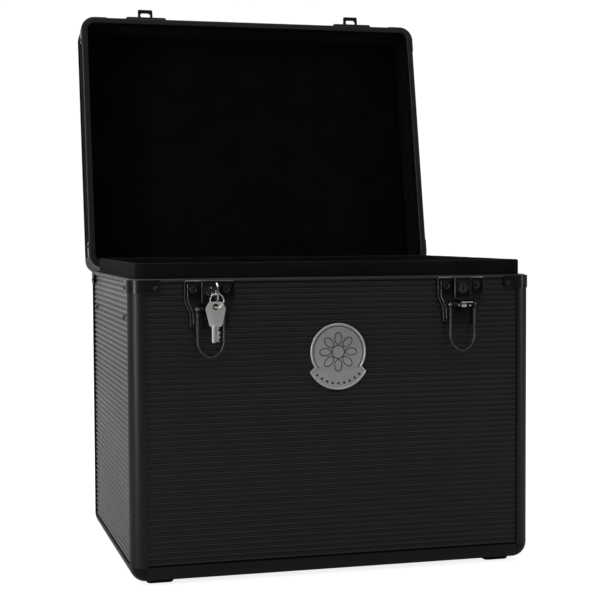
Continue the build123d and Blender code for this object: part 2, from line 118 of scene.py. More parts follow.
def material(name, color, rough, metallic=0.0, specular=0.5, spread=0.25, patch=60.0,
             grain=1500.0, bump=0.15, depth=0.00008, rough_spread=0.06, stretch=(1, 1, 1),
             sheen=0.0, sheen_rough=0.4):
    """Principled surface whose colour, roughness and height vary with noise laid in metres.

    patch and grain scale the wide and the fine noise, stretch scales both along each axis,
    spread is how far the colour strays, depth the height of the bumps in metres."""
    m = bpy.data.materials.new(name)
    m.use_nodes = True
    tree = m.node_tree
    shader = tree.nodes["Principled BSDF"]
    for socket, value in (("Metallic", metallic), ("Specular IOR Level", specular),
                          ("Sheen Weight", sheen), ("Sheen Roughness", sheen_rough)):
        shader.inputs[socket].default_value = value
    coord = tree.nodes.new("ShaderNodeTexCoord")
    mapping = node_of(tree, "ShaderNodeMapping", Scale=stretch)
    tree.links.new(coord.outputs["Object"], mapping.inputs["Vector"])
    wide = node_of(tree, "ShaderNodeTexNoise", Scale=patch, Detail=4.0, Roughness=0.6)
    fine = node_of(tree, "ShaderNodeTexNoise", Scale=grain, Detail=3.0, Roughness=0.65)
    for texture in (wide, fine):
        tree.links.new(mapping.outputs["Vector"], texture.inputs["Vector"])
    both = math_node(tree, "ADD", wide.outputs["Fac"], fine.outputs["Fac"])
    mean = math_node(tree, "MULTIPLY", both, 0.5)
    ramp = tree.nodes.new("ShaderNodeValToRGB")
    stops = zip(ramp.color_ramp.elements, (0.35, 0.65), (1 - spread, 1 + spread))
    for element, position, k in stops:
        element.position = position
        element.color = tuple(min(1.0, c * k) for c in color) + (1.0,)
    tree.links.new(mean, ramp.inputs["Fac"])
    tree.links.new(ramp.outputs["Color"], shader.inputs["Base Color"])
    spans = node_of(tree, "ShaderNodeMapRange", From_Min=0.3, From_Max=0.7,
                    To_Min=max(0.02, rough - rough_spread), To_Max=rough + rough_spread)
    tree.links.new(mean, spans.inputs["Value"])
    tree.links.new(spans.outputs["Result"], shader.inputs["Roughness"])
    height = node_of(tree, "ShaderNodeBump", Strength=bump, Distance=depth)
    tree.links.new(fine.outputs["Fac"], height.inputs["Height"])
    tree.links.new(height.outputs["Normal"], shader.inputs["Normal"])
    return m


LAMINATE = material("black_laminate", (0.0082, 0.0082, 0.0090), 0.27, specular=0.34,
                    grain=2600.0, bump=0.25, depth=0.00006, patch=18.0, spread=0.14,
                    stretch=(0.25, 0.25, 1))
ANODISED = material("black_anodised", (0.0050, 0.0050, 0.0054), 0.36, specular=0.36,
                    grain=3000.0, bump=0.10, depth=0.00003, patch=25.0, spread=0.15,
                    rough_spread=0.04)
STEEL = material("black_lacquered_steel", (0.0030, 0.0030, 0.0033), 0.22, specular=0.24,
                 grain=1400.0, bump=0.10, depth=0.00005, patch=90.0, spread=0.30)
BRACKET = material("black_bracket", (0.0030, 0.0030, 0.0033), 0.26, specular=0.34, grain=1400.0,
                   bump=0.10, depth=0.00005, patch=90.0, spread=0.30)
# painted highlight: bright metal for beads on the latches' lit top and left edges
PAINTED_HIGHLIGHT = material("painted_highlight_metal", (0.19, 0.19, 0.195), 0.26, metallic=0.9, grain=1800.0, bump=0.15,
                depth=0.00004, patch=260.0, spread=0.35)
WIRE = material("black_wire", (0.070, 0.070, 0.073), 0.22, metallic=0.75, specular=0.6,
                grain=2400.0, bump=0.10, depth=0.00004, patch=200.0, spread=0.3)
NICKEL = material("bright_nickel", (0.80, 0.79, 0.77), 0.22, metallic=0.85, grain=1800.0,
                  bump=0.10, depth=0.00005, patch=250.0, spread=0.12)
KEY = material("key_nickel", (0.62, 0.61, 0.595), 0.33, metallic=0.50, grain=1200.0, bump=0.25,
               depth=0.00006, patch=180.0, spread=0.14, stretch=(1, 1, 0.15))
SHANK = material("key_polished", (0.60, 0.59, 0.58), 0.16, metallic=1.0, grain=1200.0,
                 bump=0.12, depth=0.00004, patch=180.0, spread=0.14)
RIVET = material("rivet_black", (0.0060, 0.0060, 0.0064), 0.25, specular=0.35, grain=1500.0,
                 bump=0.12, depth=0.00005, patch=300.0)
# painted shade: the same velvet as the body's lining, darker and with less sheen, for the lid's
# lining
SHADED_VELVET = material("lid_velvet_painted_shade", (0.0032, 0.0032, 0.0035), 0.95, specular=0.03,
                         grain=1900.0, bump=0.7, depth=0.0005, patch=26.0, spread=0.60,
                         sheen=0.012, sheen_rough=0.5)
VELVET = material("velvet", (0.0070, 0.0070, 0.0075), 0.95, specular=0.06, grain=1900.0,
                  bump=0.7, depth=0.0005, patch=26.0, spread=0.60, sheen=0.045,
                  sheen_rough=0.35)
RUBBER = material("foot_rubber", (0.010, 0.010, 0.010), 0.72, specular=0.25, grain=1600.0,
                  bump=0.5, depth=0.0002, patch=120.0)
PLASTIC = material("grained_plastic", (0.012, 0.012, 0.013), 0.44, specular=0.36, grain=1100.0,
                   bump=0.45, depth=0.00018, patch=60.0)
SATIN = material("badge_satin", (0.46, 0.46, 0.47), 0.40, metallic=0.55, grain=1900.0,
                 bump=0.25, depth=0.00006, patch=120.0, spread=0.10, stretch=(0.12, 1, 1))
POLISHED = material("badge_rim", (0.66, 0.66, 0.67), 0.30, metallic=0.70, grain=1800.0,
                    bump=0.10, depth=0.00004, patch=150.0, spread=0.10)
ENAMEL = material("badge_enamel", (0.030, 0.030, 0.033), 0.42, specular=0.4, grain=1500.0,
                  bump=0.15, patch=300.0)


# ---- mesh tools ----
EASE = 0.3                    # middle step of a plate's eased edge, as a share of that edge
CAP_SIZE, CAP_OUT = 0.72, 0.35    # end of a round bar beside its radius: how wide, how far out
WELD = 1e-4                   # points closer than this are one, in millimetres


def turn(n):
    """n angles round a full turn."""
    return [2 * math.pi * k / n for k in range(n)]


class Shape:
    """A mesh in the making, in case millimetres."""

    def __init__(self):
        self.bm = bmesh.new()

    def add(self, points, faces):
        made = [self.bm.verts.new(p) for p in points]
        for face in faces:
            self.bm.faces.new([made[i] for i in face])

    def grid(self, rows, closed_u=False, closed_v=False):
        """Faces between rows of points; each row has the same count."""
        n, k = len(rows), len(rows[0])
        faces = []
        for i in range(n if closed_u else n - 1):
            for j in range(k if closed_v else k - 1):
                a, b = i * k, (i + 1) % n * k
                c, d = j, (j + 1) % k
                faces.append((a + c, a + d, b + d, b + c))
        self.add([p for row in rows for p in row], faces)

    def plate(self, loops, where, t0, t1, edge=0.3):
        """Flat piece between t0 and t1 with eased edges. loops: the outline, then any holes,
        as (u, v); where(u, v, t) gives the point."""
        loops = [wound(loop, i == 0) for i, loop in enumerate(loops)]
        rows, caps = [], []
        for loop in loops:
            small, less = inset(loop, edge), inset(loop, edge * EASE)
            e = math.copysign(edge, t1 - t0)
            levels = ((small, t0), (less, t0 + e * EASE), (loop, t0 + e),
                      (loop, t1 - e), (less, t1 - e * EASE), (small, t1))
            rows.append([[where(u, v, t) for u, v in ring] for ring, t in levels])
            caps.append(small)
        for ring_rows in rows:
            self.grid(ring_rows, closed_v=True)
        flat = [p for loop in caps for p in loop]
        triangles = tessellate_polygon([[Vector((u, v, 0)) for u, v in loop] for loop in caps])
        for t in (t0, t1):
            self.add([where(u, v, t) for u, v in flat], [tuple(tri) for tri in triangles])

    def tube(self, path, r, segments=12, closed=False):
        """Round bar along a path of points, with capped ends."""
        path = [Vector(p) for p in path]
        n = len(path)
        rows, side = [], None
        for i, p in enumerate(path):
            before = path[i - 1] if (i or closed) else p
            after = path[(i + 1) % n] if (i < n - 1 or closed) else p
            tangent = (after - before).normalized()
            if side is None:
                side = tangent.orthogonal().normalized()
            side = (side - tangent * side.dot(tangent)).normalized()
            other = tangent.cross(side)
            rows.append([p + r * (math.cos(a) * side + math.sin(a) * other)
                         for a in turn(segments)])
        if not closed:
            for end, inner in ((0, 1), (-1, -2)):
                away = (path[end] - path[inner]).normalized() * r * CAP_OUT
                cap = [path[end] + (p - path[end]) * CAP_SIZE + away for p in rows[end]]
                rows.insert(0, cap) if end == 0 else rows.append(cap)
            self.grid(rows, closed_v=True)
            for cap in (rows[0], rows[-1]):
                self.add(cap, [tuple(range(segments))])
        else:
            self.grid(rows, closed_u=True, closed_v=True)

    def lathe(self, profile, centre, axis, segments=32):
        """Turned piece: profile is (radius, distance along axis), from radius 0 to radius 0."""
        axis = Vector(axis).normalized()
        side = axis.orthogonal().normalized()
        other = axis.cross(side)
        centre = Vector(centre)
        rings = [[centre + axis * h + r * (math.cos(a) * side + math.sin(a) * other)
                  for a in turn(segments)] for r, h in profile if r > 0]
        self.grid(rings, closed_v=True)
        fan = [(k, (k + 1) % segments, segments) for k in range(segments)]
        for ring, (_, h) in ((rings[0], profile[0]), (rings[-1], profile[-1])):
            self.add(ring + [centre + axis * h], fan)

    def done(self, name, body, slot, surface, *nodes, smooth=38, lid=False):
        """Piece of this shape on a body, in place of any CAD nodes named."""
        bmesh.ops.remove_doubles(self.bm, verts=self.bm.verts, dist=WELD)
        bmesh.ops.recalc_face_normals(self.bm, faces=self.bm.faces)
        move = LID if lid else Matrix.Identity(4)
        for v in self.bm.verts:
            v.co = move @ Vector((v.co.x * MM, v.co.y * MM + CY, v.co.z * MM))
        mesh = bpy.data.meshes.new(name)
        self.bm.to_mesh(mesh)
        self.bm.free()
        for face in mesh.polygons:
            face.use_smooth = True
        mesh.set_sharp_from_angle(angle=math.radians(smooth))
        mesh.materials.append(surface)
        piece = bpy.data.objects.new(name, mesh)
        bpy.context.scene.collection.objects.link(piece)
        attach(piece, body)
        if nodes:
            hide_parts(*nodes)
        return piece


def wound(loop, outer):
    """The loop with the solid on its left."""
    area = sum(a[0] * b[1] - b[0] * a[1] for a, b in zip(loop, loop[1:] + loop[:1]))
    return list(loop) if (area > 0) == outer else list(reversed(loop))


def inset(loop, e):
    """The loop moved e towards its left."""
    out = []
    for i, p in enumerate(loop):
        a, b = Vector(loop[i - 1]), Vector(loop[(i + 1) % len(loop)])
        p = Vector(p)
        d1, d2 = (p - a).normalized(), (b - p).normalized()
        n1, n2 = Vector((-d1.y, d1.x)), Vector((-d2.y, d2.x))
        m = (n1 + n2) / max(0.35, 1 + n1.dot(n2))
        out.append((p.x + e * m.x, p.y + e * m.y))
    return out


MAX_CUT = 0.48                # a rounding takes at most this share of an edge


def rounded(points, r, steps=5):
    """Polygon with its corners rounded; r is one radius or one for each corner."""
    radii = r if isinstance(r, (list, tuple)) else [r] * len(points)
    out = []
    for i, (p, radius) in enumerate(zip(points, radii)):
        p, a, b = Vector(p), Vector(points[i - 1]), Vector(points[(i + 1) % len(points)])
        to_a, to_b = (a - p).normalized(), (b - p).normalized()
        half = math.acos(max(-1.0, min(1.0, to_a.dot(to_b)))) / 2
        cut = min(radius / max(math.tan(half), 1e-6), (a - p).length * MAX_CUT,
                  (b - p).length * MAX_CUT)
        start, end = p + to_a * cut, p + to_b * cut
        for k in range(steps + 1):
            t = k / steps
            q = start * (1 - t) ** 2 + p * 2 * t * (1 - t) + end * t ** 2
            out.append((q.x, q.y))
    return out


def both_sides(half):
    """Outline from its right half, listed from the top down."""
    return list(half) + [(-x, z) for x, z in reversed(half)]


def circle(cx, cz, r, n=32):
    return [(cx + r * math.cos(a), cz + r * math.sin(a)) for a in turn(n)]


def on_front(x0):
    """Map for plates on the front: u across from x0, v up, t out from the front face."""
    return lambda u, v, t: (x0 + u, FRONT - t, v)


# ---- ribbed panels ----
PITCH, RIB_DEPTH = 5.2, 0.9
REED_SHARP = 3.5              # the higher, the narrower the reeds
REED_STEPS = 10               # points across one pitch


def reed(s):
    """Height of a reed, 0 to 1, at s pitches."""
    return (0.5 + 0.5 * math.cos(2 * math.pi * s)) ** REED_SHARP


def ribbed(node, normal, sign, run):
    """Closed panel whose reeds run along one axis; sign tells its outside on the normal axis."""
    lo, hi = case_box(node)
    across = 3 - normal - run
    span = hi[across] - lo[across]
    count = round(span / PITCH * REED_STEPS)
    outside = hi[normal] if sign > 0 else lo[normal]
    inside = lo[normal] if sign > 0 else hi[normal]
    rows = []
    for i in range(count + 1):
        s = span * i / count
        face = outside - sign * RIB_DEPTH * (1 - reed(s / PITCH))
        row = []
        for depth, end in ((face, lo[run]), (face, hi[run]),
                           (inside, hi[run]), (inside, lo[run])):
            p = [0, 0, 0]
            p[normal], p[run], p[across] = depth, end, lo[across] + s
            row.append(p)
        rows.append(row)
    shape = Shape()
    shape.grid(rows, closed_v=True)
    for row in (rows[0], rows[-1]):
        shape.add(row, [(0, 1, 2, 3)])
    body = NODES[node]["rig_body"]
    shape.done("ribbed_" + node, body, "black_laminate", LAMINATE, node, smooth=50,
               lid=body == "lid")


for part in ("body", "lid"):
    for panel, normal, sign, run in (("_front_panel", 1, -1, 0), ("_back_panel", 1, 1, 0),
                                     ("_left_panel", 0, -1, 1), ("_right_panel", 0, 1, 1)):
        ribbed(part + panel, normal, sign, run)
ribbed("lid_top_panel", 2, 1, 0)


# ---- rims ----
CORNER_R = 15.0               # rounding of the upright corners
# Width of the leg, and the edge that shows as (in from the outside, down from the free face).
RIM_SHAPE = {
    "body": (7.5, [(0.0, 3.0), (0.06, 2.6), (0.35, 2.1), (1.9, 0.45), (2.3, 0.12), (2.8, 0.0)]),
    "lid": (6.5, [(0.0, 3.0), (0.0, 1.0), (0.08, 0.6), (0.28, 0.28), (0.6, 0.08), (1.0, 0.0)]),
}


def round_rect(hx, hy, r, step=9.0, corner=7):
    """Points and outward directions round a rounded rectangle."""
    out = []
    for cx, cy, a0 in ((hx - r, hy - r, 0), (-hx + r, hy - r, 90),
                       (-hx + r, -hy + r, 180), (hx - r, -hy + r, 270)):
        for k in range(corner + 1):
            a = math.radians(a0 + 90 * k / corner)
            out.append(((cx + r * math.cos(a), cy + r * math.sin(a)), (math.cos(a), math.sin(a))))
    full = []
    for (p, n), (q, m) in zip(out, out[1:] + out[:1]):
        full.append((p, n))
        length = math.dist(p, q)
        if length > step * 1.5:
            cuts = round(length / step)
            full += [((p[0] + (q[0] - p[0]) * k / cuts, p[1] + (q[1] - p[1]) * k / cuts), n)
                     for k in range(1, cuts)]
    return full


def rim_ring(part):
    """Rim extrusion: a narrow edge outside, with the ribbed panels run up under it."""
    lo, hi = case_box(part + "_rim_frame")
    free, up = (hi[2], 1) if part == "body" else (lo[2], -1)
    height = hi[2] - lo[2]
    leg, edge = RIM_SHAPE[part]
    profile = [(0.25, 3.3)] + edge + [(leg - 0.4, 0.0), (leg, 0.4), (leg, height),
                                      (1.9, height), (1.9, 3.3)]
    rows = [[(x - nx * d, y - ny * d, free - up * z) for d, z in profile]
            for (x, y), (nx, ny) in round_rect(HW, HD, CORNER_R, step=60.0, corner=12)]
    shape = Shape()
    shape.grid(rows, closed_u=True, closed_v=True)
    shape.done(part + "_rim_edge", "case" if part == "body" else "lid", "black_aluminium",
               ANODISED, part + "_rim_frame", smooth=40, lid=part == "lid")


for part in ("body", "lid"):
    rim_ring(part)


# ---- velvet lining ----
def lining_wall(name, body, hx, hy, r, thick, z0, z1, nodes, lid, soft):
    """Boards in velvet round the inside: a ring with a rounded free edge at z1.

    soft is how far the nap strays, in millimetres."""
    levels = [z0 + (z1 - thick / 2 - z0) * k / 12 for k in range(13)]
    arc = [math.pi * k / 6 for k in range(1, 6)]
    profile = [(0, z) for z in levels]
    profile += [(thick / 2 - thick / 2 * math.cos(a), z1 - thick / 2 + thick / 2 * math.sin(a))
                for a in arc]
    profile += [(thick, z) for z in reversed(levels)]
    shape = Shape()
    rows = []
    for (x, y), (nx, ny) in round_rect(hx, hy, r):
        row = []
        for d, z in profile:
            k = noise.noise(Vector((x * 0.035, y * 0.035, z * 0.05 + 3.1)))
            k += 0.4 * noise.noise(Vector((x * 0.12, y * 0.12, z * 0.11)))
            inward = d + (soft * k if d > thick * 0.4 else 0)
            lift = soft * 1.2 * k if z > z1 - thick else 0
            row.append((x - nx * inward, y - ny * inward, z + lift))
        rows.append(row)
    shape.grid(rows, closed_u=True, closed_v=True)
    # the lid's lining takes the darker velvet copy: painted shade
    surface = SHADED_VELVET if lid else VELVET
    piece = shape.done(name, body, "velvet", surface, *nodes, smooth=70, lid=lid)
    return piece


def lining_pad(name, body, hx, hy, r, z_back, z_face, crown, nodes, lid):
    """Padded board: flat at the back, its velvet face crowned and tucked in at the edges."""
    nx, ny = 64, 46           # squares each way
    roll_in = 6.0             # width of the rounded edge
    up = 1 if z_face > z_back else -1
    thick = abs(z_face - z_back)
    face, back = [], []
    for i in range(nx + 1):
        row_f, row_b = [], []
        for j in range(ny + 1):
            u, v = 2 * i / nx - 1, 2 * j / ny - 1
            # the squares get narrower towards the edges
            u, v = math.sin(u * math.pi / 2 * 0.999), math.sin(v * math.pi / 2 * 0.999)
            x, y = u * hx, v * hy
            cx, cy = max(abs(x) - hx + r, 0), max(abs(y) - hy + r, 0)
            if cx and cy:
                k = max(cx, cy) / math.hypot(cx, cy)
                x = math.copysign(hx - r + cx * k, x)
                y = math.copysign(hy - r + cy * k, y)
            edge = min(hx - abs(u * hx), hy - abs(v * hy))
            roll = 1 - (1 - min(edge / roll_in, 1)) ** 2.2
            swell = (1 - abs(u) ** 4) * (1 - abs(v) ** 4)
            nap = 0.25 * noise.noise(Vector((x * 0.03, y * 0.03, 7.0)))
            h = thick * (0.45 + 0.55 * roll) - crown * (1 - swell) * roll + nap * roll
            row_f.append((x, y, z_back + up * min(h, thick)))
            row_b.append((x, y, z_back))
        face.append(row_f)
        back.append(row_b)
    shape = Shape()
    shape.grid(face)
    shape.grid(back)
    for side in (0, -1):
        shape.grid([face[side], back[side]])
    for side in (0, -1):
        shape.grid([[row[side] for row in face], [row[side] for row in back]])
    # the lid's pad takes the darker velvet copy: painted shade
    surface = SHADED_VELVET if lid else VELVET
    piece = shape.done(name, body, "velvet", surface, *nodes, smooth=70, lid=lid)
    return piece


lip_lo, lip_hi = case_box("lining_front")
side_lo, side_hi = case_box("lining_left")
lining_wall("lining_body_walls", "case", -side_lo[0], -lip_lo[1], 10.0, side_hi[0] - side_lo[0],
            lip_lo[2], lip_hi[2],
            ("lining_front", "lining_back", "lining_left", "lining_right", "lining_corners"),
            False, 0.22)
pad_lo, pad_hi = case_box("lining_floor_pad")
lining_pad("lining_body_floor", "case", pad_hi[0], pad_hi[1], 6.5, pad_lo[2], pad_hi[2], 0.8,
           ("lining_floor_pad",), False)
pad_lo, pad_hi = case_box("lid_lining_pad")
lining_pad("lining_lid_pad", "lid", pad_hi[0], pad_hi[1], 9.0, pad_hi[2], pad_lo[2], 2.4,
           ("lid_lining_pad",), True)
wall_lo, wall_hi = case_box("lid_lining_walls")
LID_WALL_GAP = 0.7            # from the lid's side panels
lining_wall("lining_lid_walls", "lid", wall_hi[0] - LID_WALL_GAP, wall_hi[1] - LID_WALL_GAP,
            10.0, 1.0, wall_hi[2], wall_lo[2] + 0.05, ("lid_lining_walls",), True, 0.12)


# ---- latches ----
# Half of the plate's edge as (out from the middle, height), and the rounding of its corners.
PLATE_HALF = [(24.0, RIM - 2.0), (24.0, RIM - 21.0), (19.1, RIM - 32.0), (18.4, RIM - 43.5),
              (13.6, RIM - 48.8)]
PLATE_ROUND = [2.0, 9.0, 9.0, 3.0, 2.0]
PLATE_EDGE = rounded(both_sides(PLATE_HALF), PLATE_ROUND + PLATE_ROUND[::-1], 6)
PIN_OUT = PIN_Y - FRONT       # from the front face to the pin, negative outwards
EAR_X, EAR_HALF, EAR_R = 10.0, 3.4, 3.0


def latch_base(x0, side):
    """Plate with a raised field and two ears that carry the pin."""
    shape = Shape()
    at = on_front(x0)
    shape.plate([PLATE_EDGE], at, 0.0, 1.3, 0.5)
    shape.plate([inset(wound(PLATE_EDGE, True), 2.5)], at, 1.0, 2.4, 0.6)
    ear = [(0, EAR_HALF), (PIN_OUT, EAR_HALF)]
    ear += [(PIN_OUT - EAR_R * math.sin(a), EAR_R * math.cos(a))
            for a in (math.pi * k / 8 for k in range(1, 8))]
    ear += [(PIN_OUT, -EAR_HALF), (0, -EAR_HALF)]
    for x in (-EAR_X, EAR_X):
        shape.plate([ear], lambda u, v, t, x=x: (x0 + x + t, FRONT + u, PIN_Z + v),
                    -0.9, 0.9, 0.25)
    # stiffening leaf under the knuckle
    leaf = rounded([(-7.2, RIM - 38.0), (7.2, RIM - 38.0),
                    (6.4, RIM - 31.5), (-6.4, RIM - 31.5)], 1.2)
    shape.plate([leaf], at, 2.2, 3.1, 0.3)
    shape.done("latch_plate_" + side, "case", "black_steel", STEEL, "latch_base_" + side)


def latch_highlight_beads(x0, side):
    """Painted highlights: bright beads laid only on the top and left edges of the plate, the
    housing and the raised field.
    """
    plate = Shape()
    for d, t, r, top in ((0.5, 1.05, 0.42, RIM - 2.6), (3.0, 2.15, 0.36, RIM - 5.4)):
        edge = inset(wound(PLATE_EDGE, True), d)
        left = (p for p in edge if p[0] < -12.0 and RIM - 45.0 < p[1] < top)
        worn = sorted(left, key=lambda p: -p[1])
        worn.insert(0, (worn[0][0], top))
        plate.tube([(x0 + u, FRONT - t, v) for u, v in worn], r, 8)
    # painted highlight along the plate's top edge
    plate.tube([(x0 + x, FRONT - 1.0, RIM - 2.3) for x in (-22.6, 22.6)], 0.75, 10)
    plate.done("latch_plate_highlight_beads_" + side, "case", "black_steel", PAINTED_HIGHLIGHT)
    housing = Shape()
    # painted highlights down the housing's left edge and along its top
    housing.tube([(x0 - 8.25, FRONT - 6.15, RIM - d) for d in (2.4, 9.0, 16.0, 22.0)], 0.42, 8)
    housing.tube([(x0 + x, FRONT - 6.2, RIM - 1.95) for x in (-7.6, 0.0, 7.6)], 0.4, 8)
    housing.done("latch_housing_highlight_beads_" + side, "lever_" + side, "black_steel", PAINTED_HIGHLIGHT)


def latch_rivets():
    """Tubular rivets with a rolled rim and a sunk centre."""
    profile = [(0, 0.1), (1.5, 0.15), (1.9, 0.8), (2.5, 1.15), (3.1, 1.05), (3.6, 0.6),
               (3.7, 0.0), (0, -0.4)]
    shape = Shape()
    for _, x0 in SIDES:
        for x in (-15.2, 15.2):
            shape.lathe(profile, (x0 + x, FRONT - 2.3, RIM - 10.3), (0, -1, 0), 28)
    shape.done("latch_plate_rivets", "case", "rivets", RIVET, "latch_rivets")


def upright(half, low, high, left=None):
    """Corners of a rectangle on the front, half to the right of the middle."""
    left = -half if left is None else left
    return [(left, low), (half, low), (half, high), (left, high)]


def coil(x, way, start, length, r, per_turn, steps):
    """Points of a coil round the latch pin, from start to start + length out on one side of x."""
    points = []
    for k in range(steps + 1):
        a = 2 * math.pi * k / per_turn
        points.append((x + way * (start + length * k / steps), PIN_Y + r * math.sin(a),
                       PIN_Z + r * math.cos(a)))
    return points


def latch_lever(x0, side):
    """Lock housing with its tongue, knuckle and spring coils, and the link in front of the pin."""
    shape = Shape()
    at = on_front(x0)
    face = rounded(upright(8.75, RIM - 24.3, RIM - 1.5), [3.2, 3.2, 1.4, 1.4], 6)
    hole = circle(0, PLUG_Z, 5.15)
    shape.plate([face, hole], at, 2.6, 6.6, 0.9)
    # bezel round the lock, and the folded tongue down to the knuckle
    rim = [(5.1, 0.0), (5.15, 0.35), (5.6, 0.5), (6.2, 0.3), (6.5, 0.0)]
    rings = [[(x0 + r * math.cos(a), FRONT - 6.5 - h, PLUG_Z + r * math.sin(a))
              for a in turn(32)] for r, h in rim]
    shape.grid(rings, closed_v=True)
    tongue = rounded(upright(4.2, PIN_Z + 0.5, RIM - 23.6), 0.4, 2)
    shape.plate([tongue], at, 3.0, 6.2, 0.4)
    knuckle = [(0, -4.2), (2.5, -4.2), (2.9, -3.8), (2.9, 3.8), (2.5, 4.2), (0, 4.2)]
    shape.lathe(knuckle, (x0, PIN_Y, PIN_Z), (1, 0, 0))
    for way in (-1, 1):
        shape.tube(coil(x0, way, 5.0, 3.6, 2.5, 15, 60), 0.42, 8)
    shape.done("latch_housing_" + side, "lever_" + side, "black_steel", STEEL,
               "latch_lever_" + side)
    # link plate, cross bar and two studs in bare nickel, close enough to the pin to clear the plate
    metal = Shape()
    link = rounded(upright(3.2, RIM - 30.9, RIM - 27.6, left=-2.2), 0.9, 4)
    metal.plate([link], at, 7.4, 8.4, 0.35)
    metal.tube([(x0 + x, FRONT - 8.0, RIM - 26.2) for x in (-2.0, 9.4)], 0.5, 10)
    for x, d, r in ((6.9, 29.5, 1.0), (-4.6, 29.4, 0.8)):
        metal.lathe([(0, 0.0), (r, 0.0), (r * 0.9, 0.6), (r * 0.5, 0.95), (0, 1.0)],
                    (x0 + x, FRONT - 7.7, RIM - d), (0, -1, 0), 16)
    metal.done("latch_link_" + side, "lever_" + side, "bright_steel", NICKEL)


def latch_plug(x0, side):
    """Lock face with its keyway sunk in."""
    shape = Shape()
    at = on_front(x0)
    keyway = rounded(upright(0.75, PLUG_Z - 3.6, PLUG_Z + 3.6), 0.5, 3)
    shape.plate([circle(0, PLUG_Z, 5.0, 36), keyway], at, 1.0, 6.7, 0.35)
    shape.plate([circle(0, PLUG_Z, 4.6, 24)], at, 0.9, 3.0, 0.2)
    shape.done("lock_face_" + side, "lock_" + side, "bright_steel", WIRE, "lock_plug_" + side)


def latch_bail(x0, side):
    """Wire loop: two legs and two arcs that meet in a slight point, with an eye at each end."""
    leg_x, wire = 12.5, 1.1
    off = 2.6                 # the arcs' centres lie this far beyond the middle
    cad_wire = 1.2
    reach = PIN_Z - (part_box("latch_bail_" + side)[0].z / MM) - cad_wire
    radius = leg_x + off
    depth = math.sqrt(radius ** 2 - off ** 2)
    arcs_z = PIN_Z - reach + depth
    half = [(leg_x, z) for z in (PIN_Z - 1.0, PIN_Z - 10, PIN_Z - 20, arcs_z + 1.0)]
    stop = math.acos(off / radius)
    half += [(radius * math.cos(a) - off, arcs_z - radius * math.sin(a))
             for a in (stop * k / 16 for k in range(17))]
    path = [(x0 + u, PIN_Y, z) for u, z in half]
    path += [(x0 - u, PIN_Y, z) for u, z in reversed(half[:-1])]
    shape = Shape()
    shape.tube(path, wire, 12)
    for way in (-1, 1):
        shape.tube(coil(x0, way, leg_x - 0.3, 0.9, 2.1, 20, 26), 0.95, 10)
    shape.done("latch_wire_" + side, "bail_" + side, "bright_steel", WIRE, "latch_bail_" + side)


def latch_pin(x0, side):
    """Pin with a rolled head at each end."""
    head = [(0, 14.3), (1.0, 14.3), (1.6, 13.9), (1.6, 13.4), (1.05, 13.3)]
    shape = Shape()
    shape.lathe([(r, -h) for r, h in head] + head[::-1], (x0, PIN_Y, PIN_Z), (1, 0, 0), 20)
    shape.done("latch_pivot_" + side, "case", "bright_steel", NICKEL, "latch_pin_" + side)


for side, x0 in SIDES:
    for make in (latch_base, latch_highlight_beads, latch_lever, latch_plug, latch_bail, latch_pin):
        make(x0, side)
latch_rivets()


# ---- keys ----
BOW_W = 9.1                   # half the width of a key's bow
BOW = rounded([(-5.8, -0.2), (0, 0.0), (5.8, -0.2), (BOW_W, -5.2), (BOW_W, -8.0), (6.0, -21.5),
               (4.6, -23.0), (-4.6, -23.0), (-6.0, -21.5), (-BOW_W, -8.0), (-BOW_W, -5.2)],
              [1.8, 9, 1.8, 2.2, 2.2, 1.2, 1, 1, 1.2, 2.2, 2.2], 5)
BITS = [(0.2, -22.6), (3.0, -22.6), (3.0, -25.0), (2.2, -26.0), (2.2, -26.8), (4.0, -27.6),
        (4.0, -29.2), (2.9, -30.0), (2.9, -31.0), (4.0, -31.8), (4.0, -33.4), (2.3, -34.2),
        (2.3, -35.0), (3.4, -35.8), (3.4, -36.6), (0.2, -36.6)]
SPARE_ASIDE, SPARE_UP = -1.2, 1.0    # the hanging key beside its CAD node


def key_shape(where):
    """Key: u across, v down from the outer end of the bow (negative), t through it."""
    shape = Shape()
    shape.plate([BOW, circle(0, -4.9, 3.0, 24)], where, -0.9, 0.9, 0.35)
    shape.plate([BITS], where, -0.4, 0.4, 0.12)
    shape.tube([where(-2.0, -21.8 - 15.2 * k / 8, 0) for k in range(9)], 1.75, 14)
    return shape


bow_y = (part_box("key_in_lock")[0].y - CY) / MM
turning = key_shape(lambda u, v, t: (-LATCH_X + t, bow_y - v, PLUG_Z + u))
turning.done("key_turning", "lock_left", "key_metal", SHANK, "key_in_lock", smooth=32)
spare_lo, spare_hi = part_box("spare_key")
spare_top, spare_y = spare_hi.z / MM, ((spare_lo.y + spare_hi.y) / 2 - CY) / MM
hanging = key_shape(lambda u, v, t: (-LATCH_X + u + SPARE_ASIDE, spare_y - t,
                                     spare_top + v + SPARE_UP))
hanging.done("key_hanging", "keys", "key_metal", KEY, "spare_key", smooth=32)


def split_ring():
    """Nearly two turns of round wire in the plane of the CAD ring."""
    ring = NODES["key_ring"].data.vertices
    lo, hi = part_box("key_ring")
    centre = (lo + hi) / 2
    centre = Vector((centre.x / MM, (centre.y - CY) / MM, centre.z / MM))
    wide = max(ring, key=lambda v: v.co.x).co
    across = Vector((wide.x / MM - centre.x, (wide.y - CY) / MM - centre.y, 0)).normalized()
    axis = across.cross(Vector((0, 0, 1)))
    outer = (hi.z - lo.z) / 2 / MM
    wire, turns, steps = 0.42, 1.85, 110
    rise = 0.85               # from the first turn to the last, along the axis
    r = outer - wire - 0.1
    path = []
    for k in range(steps + 1):
        a = math.radians(200) + 2 * math.pi * turns * k / steps
        slide = (k / steps - 0.5) * rise
        around = math.cos(a) * across + math.sin(a) * Vector((0, 0, 1))
        path.append(centre + r * around + axis * slide)
    shape = Shape()
    shape.tube(path, wire, 10)
    shape.done("key_split_ring", "keys", "bright_steel", NICKEL, "key_ring")


split_ring()


